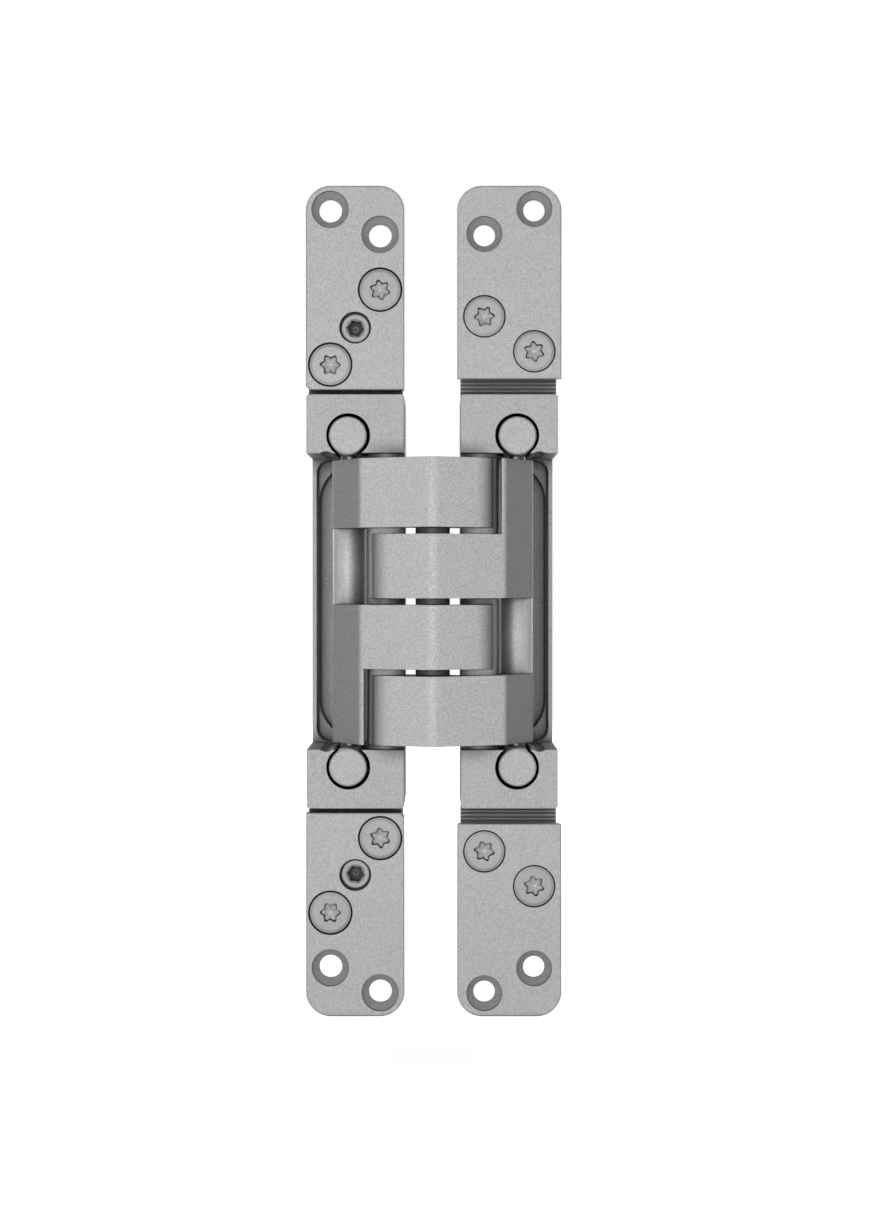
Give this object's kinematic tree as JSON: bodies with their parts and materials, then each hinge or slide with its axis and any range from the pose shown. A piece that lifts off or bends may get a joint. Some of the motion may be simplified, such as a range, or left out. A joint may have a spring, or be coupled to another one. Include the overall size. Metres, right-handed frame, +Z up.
{
  "type": "concealed door hinge",
  "caption": "Concealed door hinge with frame and door cases, crossing cast arms on pivots and sliders, screwed fixing plates and side and height adjustment.",
  "frame": {"origin": "centre of the open hinge's box, on the plane between the two halves", "axes": "+X from the frame half to the door half, +Y from the faces into the wood, +Z up along the hinge, opened flat as the picture shows it"},
  "size_m": [0.0615, 0.0484, 0.2],
  "materials": {
    "plate_satin": "satin silver coating",
    "case_casting": "satin silver coating on a die casting",
    "arm_casting": "satin silver coating on a casting",
    "ribbed_plate": "satin silver coating",
    "screw_steel": "satin turned steel",
    "slider_steel": "satin turned steel",
    "sleeve_satin": "satin silver coating",
    "pin_steel": "ground steel",
    "washer": "satin steel",
    "bearing_bush": "plain bearing bronze",
    "clamp_bar": "plain steel"
  },
  "bodies": {
    "frame_plates": {"frame_plate_upper": "plate_satin", "frame_plate_lower": "plate_satin", "frame_clamp_screws": "screw_steel", "frame_clamp_bar_upper": "clamp_bar", "frame_clamp_bar_lower": "clamp_bar"},
    "upper_adjuster": {"frame_adjuster_upper": "screw_steel"},
    "lower_adjuster": {"frame_adjuster_lower": "screw_steel"},
    "frame_side": {"frame_case": "case_casting", "frame_pivot_pin": "pin_steel", "frame_pivot_washers": "washer"},
    "frame_arms": {"frame_arm_upper": "arm_casting", "frame_arm_lower": "arm_casting", "frame_arm_bushes_upper": "bearing_bush", "frame_arm_bushes_lower": "bearing_bush", "centre_pin": "pin_steel", "centre_washers": "washer"},
    "door_arms": {"door_arm_upper": "arm_casting", "door_arm_lower": "arm_casting", "door_arm_bushes_upper": "bearing_bush", "door_arm_bushes_lower": "bearing_bush"},
    "frame_slider": {"frame_slider_upper": "slider_steel", "frame_slider_lower": "slider_steel", "frame_slide_pin": "pin_steel", "frame_slide_sleeve": "sleeve_satin"},
    "door_slider": {"door_slider_upper": "slider_steel", "door_slider_lower": "slider_steel", "door_slide_pin": "pin_steel", "door_slide_sleeve": "sleeve_satin"},
    "door_side": {"door_case": "case_casting", "door_pivot_pin": "pin_steel", "door_pivot_washers": "washer", "door_height_plate_upper": "ribbed_plate", "door_height_plate_lower": "ribbed_plate"},
    "door_plates": {"door_plate_upper": "plate_satin", "door_plate_lower": "plate_satin", "door_clamp_screws": "screw_steel", "door_clamp_bar_upper": "clamp_bar", "door_clamp_bar_lower": "clamp_bar"}
  },
  "joints": [
    {"name": "side_adjust", "type": "slide", "parent": "frame_plates", "child": "frame_side", "axis": [1, 0, 0], "range_m": [-0.001, 0.001]},
    {"name": "adjuster_upper_turn", "type": "hinge", "parent": "frame_plates", "child": "upper_adjuster", "pos_m": [-0.01865, -0.01482, 0.0659], "axis": [0, 1, 0], "range_deg": [-50.01, 50.01]},
    {"name": "adjuster_lower_turn", "type": "hinge", "parent": "frame_plates", "child": "lower_adjuster", "pos_m": [-0.01865, -0.01482, -0.0659], "axis": [0, -1, 0], "range_deg": [-50.01, 50.01]},
    {"name": "frame_pivot", "type": "hinge", "parent": "frame_side", "child": "frame_arms", "pos_m": [-0.0112, -0.00932, 0], "axis": [0, 0, -1], "range_deg": [0, 120]},
    {"name": "arm_crossing", "type": "hinge", "parent": "frame_arms", "child": "door_arms", "pos_m": [0, -0.01257, 0], "axis": [0, 0, 1], "range_deg": [0, 60]},
    {"name": "frame_slider_pivot", "type": "hinge", "parent": "door_arms", "child": "frame_slider", "pos_m": [-0.02045, -0.00107, 0], "axis": [0, 0, 1], "range_deg": [0, 60]},
    {"name": "door_slider_pivot", "type": "hinge", "parent": "frame_arms", "child": "door_slider", "pos_m": [0.02045, -0.00107, 0], "axis": [0, 0, -1], "range_deg": [0, 60]},
    {"name": "door_pivot", "type": "hinge", "parent": "door_arms", "child": "door_side", "pos_m": [0.0112, -0.00932, 0], "axis": [0, 0, -1], "range_deg": [0, 120]},
    {"name": "height_adjust", "type": "slide", "parent": "door_side", "child": "door_plates", "axis": [0, 0, 1], "range_m": [-0.003, 0.003]}
  ],
  "couplings": [
    {"joint": "adjuster_upper_turn", "follows": "side_adjust", "rad_per_m": 872.66},
    {"joint": "adjuster_lower_turn", "follows": "side_adjust", "rad_per_m": 872.66},
    {"joint": "arm_crossing", "follows": "frame_pivot", "ratio": 0.5},
    {"joint": "frame_slider_pivot", "follows": "frame_pivot", "ratio": 0.5},
    {"joint": "door_slider_pivot", "follows": "frame_pivot", "ratio": 0.5},
    {"joint": "door_pivot", "follows": "frame_pivot", "ratio": 1}
  ]
}
